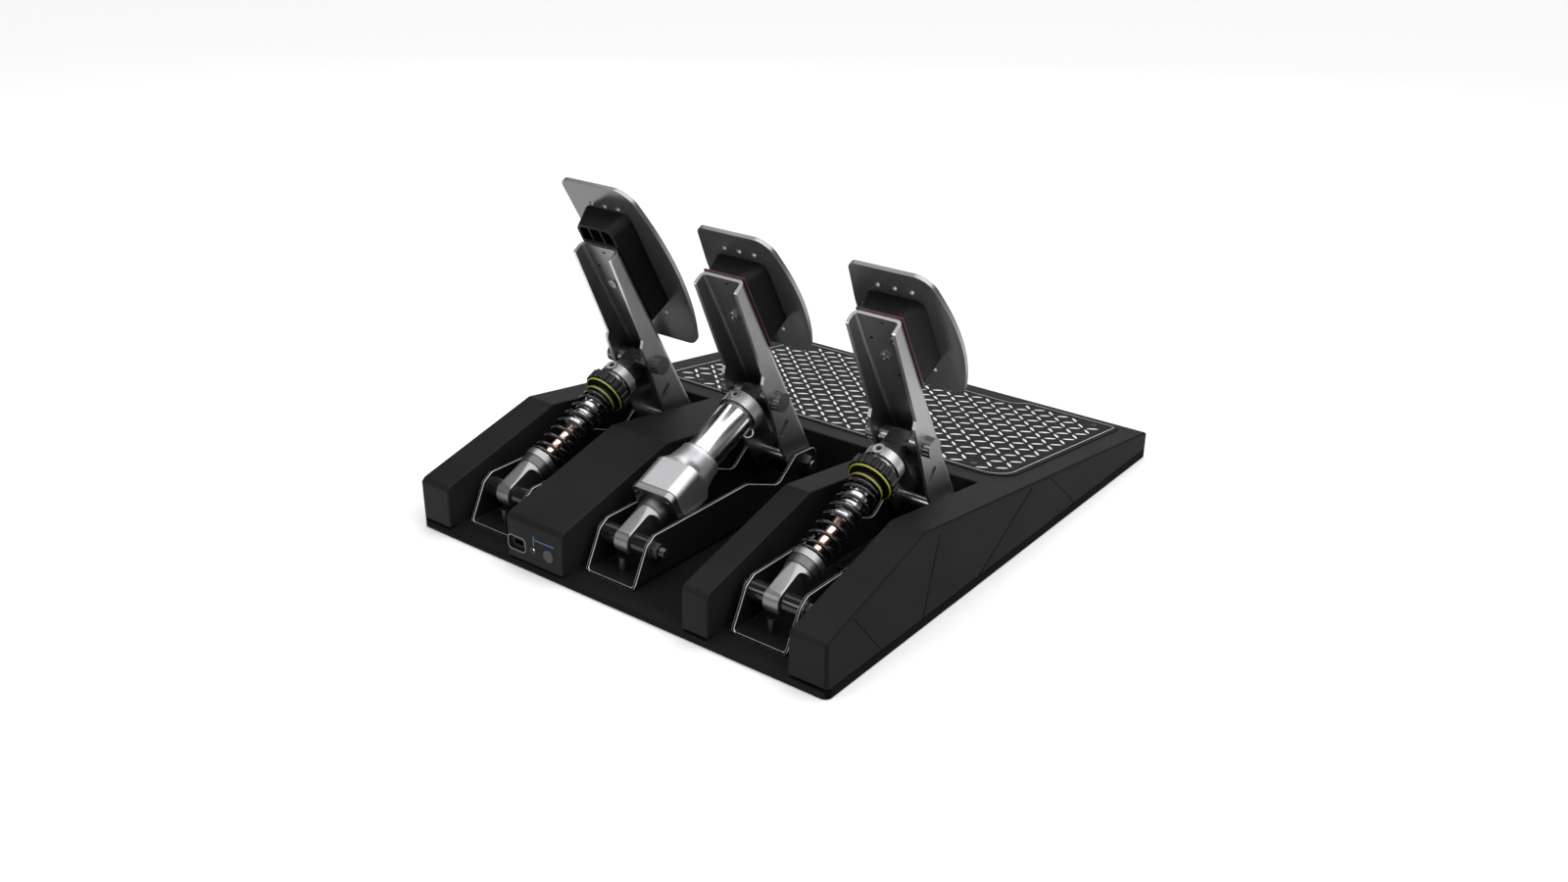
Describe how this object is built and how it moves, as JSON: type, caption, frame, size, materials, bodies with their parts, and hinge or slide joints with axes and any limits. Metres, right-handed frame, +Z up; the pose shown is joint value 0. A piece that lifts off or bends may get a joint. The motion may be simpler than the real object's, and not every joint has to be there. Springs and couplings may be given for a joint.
{
  "type": "sim racing pedal set",
  "caption": "Wedge base with throttle, brake and clutch pedals on folded steel arms, pressed against coil-over struts and a load-cell brake strut.",
  "frame": {"origin": "middle of the footprint, on the surface the feet stand on", "axes": "+X to the driver's right, -Y towards the driver's heels, +Z up"},
  "size_m": [0.43, 0.521, 0.2791],
  "materials": {
    "shell_plastic": "fine-grained charcoal moulding",
    "tray_plastic": "fine-grained charcoal moulding",
    "heel_tread": "dark sheet with pale raised tread marks",
    "dark_screw": "black oxide steel",
    "foot_rubber": "moulded rubber",
    "socket_shell": "plated socket shell",
    "light_lens": "clear diffusing lens",
    "circuit_board": "green solder mask",
    "button_plastic": "satin moulding",
    "bracket_coat": "black powder coat with bright worn edges",
    "bright_steel": "zinc plated steel",
    "washer_nylon": "natural nylon",
    "spacer_plastic": "gloss black tube",
    "sensor_plastic": "black housing",
    "arm_steel": "satin grey steel sheet with bright cut edges",
    "block_plastic": "black glass-filled moulding",
    "red_shim": "dark red anodised",
    "plate_alloy": "brushed alloy plate",
    "pin_gunmetal": "gunmetal turned finish",
    "eye_alloy": "satin machined alloy",
    "end_alloy": "satin dark alloy",
    "housing_alloy": "bead-blasted silver alloy",
    "elastomer_rubber": "moulded polyurethane",
    "tube_chrome": "polished chrome",
    "copper_rod": "polished copper-coloured rod",
    "spring_coat": "gloss black coated wire",
    "body_chrome": "polished ringed barrel",
    "yellow_ring": "yellow-green anodised",
    "collar_black": "black anodised knurl"
  },
  "bodies": {
    "root": {"top_shell": "shell_plastic", "base_pan": "tray_plastic", "heel_plate": "heel_tread", "heel_screws": "dark_screw", "rubber_feet": "foot_rubber", "pan_screws": "dark_screw", "usb_socket": "socket_shell", "status_light": "light_lens", "main_board": "circuit_board", "bracket_screws": "dark_screw", "throttle_bracket": "bracket_coat", "brake_bracket": "bracket_coat", "clutch_bracket": "bracket_coat", "pivot_axles": "bright_steel", "pivot_washers": "washer_nylon", "lower_pins": "dark_screw", "lower_spacers": "spacer_plastic", "flange_nuts": "dark_screw", "angle_sensors": "sensor_plastic"},
    "mode_button": {"mode_button": "button_plastic"},
    "throttle_pedal": {"throttle_arm": "arm_steel", "throttle_block": "block_plastic", "throttle_plate": "plate_alloy", "throttle_screws": "bright_steel", "throttle_cross_pin": "pin_gunmetal"},
    "throttle_strut_lower": {"throttle_eye": "eye_alloy", "throttle_rod": "copper_rod", "throttle_spring": "spring_coat"},
    "throttle_strut_upper": {"throttle_body": "body_chrome", "throttle_head": "pin_gunmetal"},
    "throttle_preload_seat": {"throttle_seat": "yellow_ring"},
    "throttle_preload_collar": {"throttle_collar": "collar_black"},
    "brake_pedal": {"brake_arm": "arm_steel", "brake_shim": "red_shim", "brake_block": "block_plastic", "brake_plate": "plate_alloy", "brake_screws": "bright_steel", "brake_cross_pin": "pin_gunmetal"},
    "brake_strut_lower": {"brake_eye": "eye_alloy", "brake_end_plate": "end_alloy", "brake_housing": "housing_alloy", "brake_load_cell": "end_alloy", "brake_elastomer": "elastomer_rubber"},
    "brake_strut_upper": {"brake_tube": "tube_chrome", "brake_head": "pin_gunmetal"},
    "clutch_pedal": {"clutch_arm": "arm_steel", "clutch_shim": "red_shim", "clutch_block": "block_plastic", "clutch_plate": "plate_alloy", "clutch_screws": "bright_steel", "clutch_cross_pin": "pin_gunmetal"},
    "clutch_strut_lower": {"clutch_eye": "eye_alloy", "clutch_rod": "copper_rod", "clutch_spring": "spring_coat"},
    "clutch_strut_upper": {"clutch_body": "body_chrome", "clutch_head": "pin_gunmetal"},
    "clutch_preload_seat": {"clutch_seat": "yellow_ring"},
    "clutch_preload_collar": {"clutch_collar": "collar_black"}
  },
  "joints": [
    {"name": "mode_button_press", "type": "slide", "parent": "root", "child": "mode_button", "axis": [0, -1, 0], "range_m": [0, 0.001], "stiffness_N_per_m": 600, "springref_m": -0.0005},
    {"name": "throttle_press", "type": "hinge", "parent": "root", "child": "throttle_pedal", "pos_m": [0.146, 0.02, 0.038], "axis": [-1, 0, 0], "range_deg": [0, 18], "stiffness_Nm_per_rad": 18, "springref_deg": -6.88},
    {"name": "throttle_strut_swing", "type": "hinge", "parent": "root", "child": "throttle_strut_lower", "pos_m": [0.146, 0.219, 0.037], "axis": [1, 0, 0], "range_deg": [0, 1.85]},
    {"name": "throttle_strut_slide", "type": "slide", "parent": "throttle_strut_lower", "child": "throttle_strut_upper", "axis": [0, 0.9117, -0.4108], "range_m": [0, 0.025], "deforming": ["throttle_spring"]},
    {"name": "throttle_preload_slide", "type": "slide", "parent": "throttle_strut_upper", "child": "throttle_preload_seat", "axis": [0, 0.9117, -0.4108], "range_m": [0, 0.0011]},
    {"name": "throttle_preload_turn", "type": "hinge", "parent": "throttle_strut_upper", "child": "throttle_preload_collar", "pos_m": [0.146, 0.10959, 0.08629], "axis": [0, 0.9117, -0.4108], "range_deg": [0, 360]},
    {"name": "brake_press", "type": "hinge", "parent": "root", "child": "brake_pedal", "pos_m": [0.01, 0.02, 0.038], "axis": [-1, 0, 0], "range_deg": [0, 9], "stiffness_Nm_per_rad": 120, "springref_deg": -1.72},
    {"name": "brake_strut_swing", "type": "hinge", "parent": "root", "child": "brake_strut_lower", "pos_m": [0.01, 0.219, 0.037], "axis": [1, 0, 0], "range_deg": [0, 0.61]},
    {"name": "brake_strut_slide", "type": "slide", "parent": "brake_strut_lower", "child": "brake_strut_upper", "axis": [0, 0.9117, -0.4108], "range_m": [0, 0.0127], "deforming": ["brake_elastomer"]},
    {"name": "clutch_press", "type": "hinge", "parent": "root", "child": "clutch_pedal", "pos_m": [-0.14, 0.02, 0.038], "axis": [-1, 0, 0], "range_deg": [0, 18], "stiffness_Nm_per_rad": 25, "springref_deg": -6.88},
    {"name": "clutch_strut_swing", "type": "hinge", "parent": "root", "child": "clutch_strut_lower", "pos_m": [-0.14, 0.219, 0.037], "axis": [1, 0, 0], "range_deg": [0, 1.85]},
    {"name": "clutch_strut_slide", "type": "slide", "parent": "clutch_strut_lower", "child": "clutch_strut_upper", "axis": [0, 0.9117, -0.4108], "range_m": [0, 0.025], "deforming": ["clutch_spring"]},
    {"name": "clutch_preload_slide", "type": "slide", "parent": "clutch_strut_upper", "child": "clutch_preload_seat", "axis": [0, 0.9117, -0.4108], "range_m": [0, 0.0011]},
    {"name": "clutch_preload_turn", "type": "hinge", "parent": "clutch_strut_upper", "child": "clutch_preload_collar", "pos_m": [-0.14, 0.10959, 0.08629], "axis": [0, 0.9117, -0.4108], "range_deg": [0, 360]}
  ],
  "couplings": [
    {"joint": "throttle_strut_swing", "follows": "throttle_press", "ratio": 0.1},
    {"joint": "throttle_strut_slide", "follows": "throttle_press", "m_per_rad": 0.07925},
    {"joint": "throttle_preload_slide", "follows": "throttle_preload_turn", "m_per_rad": 0.00015915},
    {"joint": "brake_strut_swing", "follows": "brake_press", "ratio": 0.0625},
    {"joint": "brake_strut_slide", "follows": "brake_press", "m_per_rad": 0.08025},
    {"joint": "clutch_strut_swing", "follows": "clutch_press", "ratio": 0.1},
    {"joint": "clutch_strut_slide", "follows": "clutch_press", "m_per_rad": 0.07925},
    {"joint": "clutch_preload_slide", "follows": "clutch_preload_turn", "m_per_rad": 0.00015915}
  ]
}
